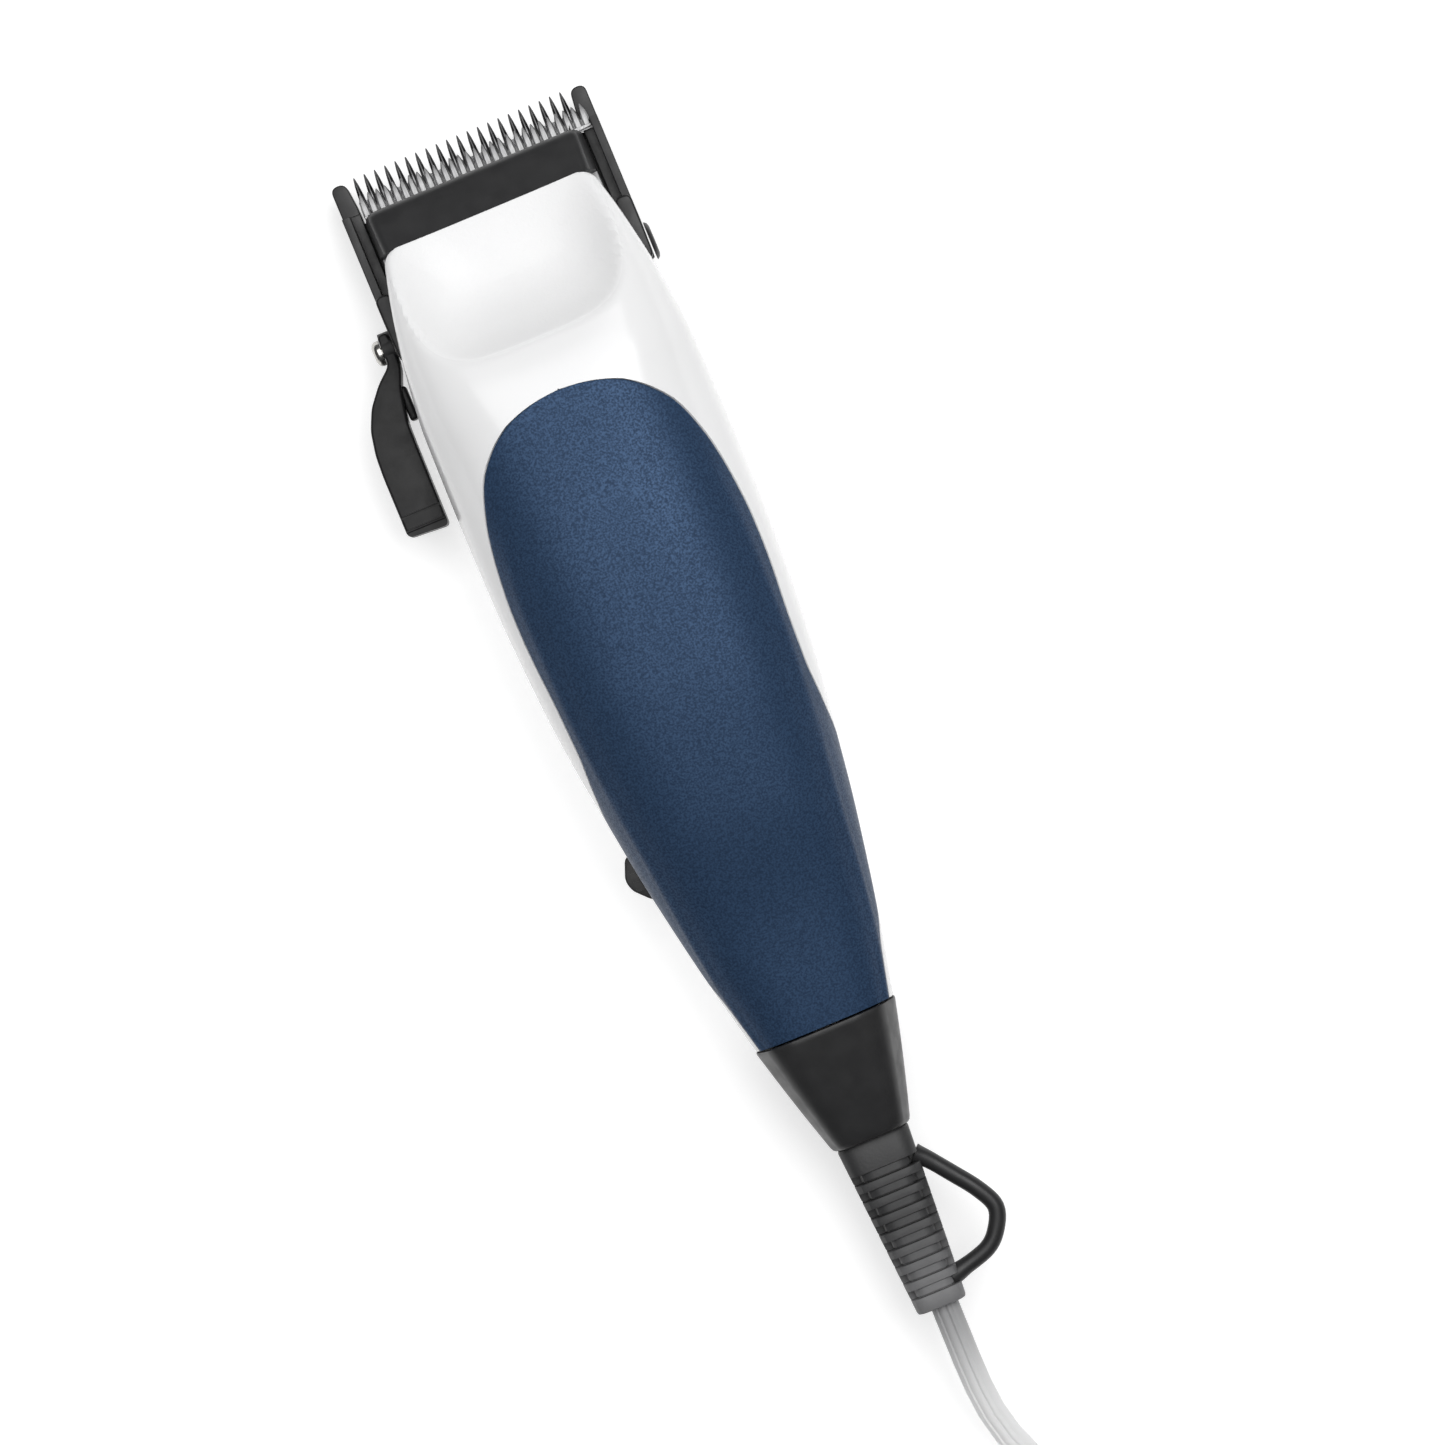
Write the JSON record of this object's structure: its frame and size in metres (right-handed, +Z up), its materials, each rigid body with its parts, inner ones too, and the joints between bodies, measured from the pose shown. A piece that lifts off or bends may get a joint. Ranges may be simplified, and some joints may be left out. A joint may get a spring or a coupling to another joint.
{
  "type": "hair clipper",
  "caption": "Corded magnetic-motor hair clipper with sliding blade set, taper lever, side switch, strain relief, hanging loop and plugged mains cord.",
  "frame": {"origin": "middle of the flat belly that the clipper rests on", "axes": "+Y along the body towards the blades, +X to the clipper's right seen from above, +Z up from the belly"},
  "size_m": [0.083, 0.3226, 0.0425],
  "materials": {
    "white_plastic": "glossy white housing with a matte grained thumb scoop",
    "blue_inlay": "navy inlay with fine metallic fleck",
    "black_plastic": "black moulded plastic, fine grain",
    "grey_rubber": "dark grey flexible strain relief",
    "cord_sheath": "grey flexible sheath, ribbed",
    "tie_plastic": "strap",
    "plug_plastic": "moulded plug",
    "plug_brass": "nickel-plated brass",
    "blade_steel": "ground hardened steel",
    "cutter_steel": "ground bright steel",
    "screw_steel": "plated steel",
    "spring_steel": "spring steel",
    "laminated_steel": "varnished laminations",
    "zinc": "zinc die casting",
    "copper_wire": "enamelled copper winding",
    "nylon": "natural nylon",
    "wire_insulation": "wire insulation"
  },
  "bodies": {
    "housing": {"upper_housing": "white_plastic", "lower_housing": "white_plastic", "grip_inlay": "blue_inlay", "nose_cover": "black_plastic", "housing_screw_front_left": "screw_steel", "housing_screw_front_right": "screw_steel", "housing_screw_rear_left": "screw_steel", "housing_screw_rear_right": "screw_steel", "end_cap": "black_plastic", "tension_spring": "spring_steel", "shaft_bearing_left": "nylon", "shaft_bearing_right": "nylon", "stator_core": "laminated_steel", "stator_screw_rear": "screw_steel", "stator_screw_front": "screw_steel", "bobbin": "nylon", "winding": "copper_wire", "spring_clamp": "zinc", "clamp_screw_left": "screw_steel", "clamp_screw_right": "screw_steel", "switch_body": "black_plastic", "inner_cord": "cord_sheath", "cord_clamp": "nylon", "cord_clamp_screw_left": "screw_steel", "cord_clamp_screw_right": "screw_steel", "lead_wire_live": "wire_insulation", "lead_wire_switched": "wire_insulation", "lead_wire_return": "wire_insulation", "cord_boot": "grey_rubber", "hanging_loop": "black_plastic", "cord_run": "cord_sheath", "cord_coil": "cord_sheath", "cord_tail": "cord_sheath", "cord_tie": "tie_plastic", "plug_body": "plug_plastic", "plug_blade_left": "plug_brass", "plug_blade_right": "plug_brass"},
    "blade_carrier": {"blade_frame": "black_plastic", "comb_blade": "blade_steel", "blade_screw_left": "screw_steel", "blade_screw_right": "screw_steel"},
    "cutter": {"cutter_blade": "cutter_steel"},
    "drive": {"drive_arm": "nylon", "armature_core": "laminated_steel", "leaf_spring": "spring_steel"},
    "lever": {"taper_lever": "black_plastic", "taper_shaft": "spring_steel", "taper_lever_screw": "screw_steel", "shaft_cap": "black_plastic"},
    "switch": {"switch_knob": "black_plastic"},
    "power_adjuster": {"power_screw": "screw_steel"}
  },
  "joints": [
    {"name": "taper_lever_hinge", "type": "hinge", "parent": "housing", "child": "lever", "pos_m": [-0.0242, 0.0576, 0.0105], "axis": [-1, 0, 0], "range_deg": [0, 45]},
    {"name": "blade_slide", "type": "slide", "parent": "housing", "child": "blade_carrier", "axis": [0, 1, 0], "range_m": [-0.0023, 0]},
    {"name": "drive_hinge", "type": "hinge", "parent": "housing", "child": "drive", "pos_m": [0.009, -0.008, 0.0155], "axis": [0, 0, 1], "range_deg": [0, 1.64], "stiffness_Nm_per_rad": 0.5},
    {"name": "cutter_slide", "type": "slide", "parent": "housing", "child": "cutter", "axis": [1, 0, 0], "range_m": [-0.0023, 0]},
    {"name": "switch_slide", "type": "slide", "parent": "housing", "child": "switch", "axis": [0, 1, 0], "range_m": [0, 0.0048]},
    {"name": "power_screw_turn", "type": "hinge", "parent": "housing", "child": "power_adjuster", "pos_m": [0.0227, 0.02, 0.012], "axis": [1, 0, 0], "range_deg": [-90, 90]}
  ],
  "couplings": [
    {"joint": "taper_lever_hinge", "follows": "blade_slide", "rad_per_m": -342.06},
    {"joint": "cutter_slide", "follows": "drive_hinge", "m_per_rad": -0.077}
  ]
}
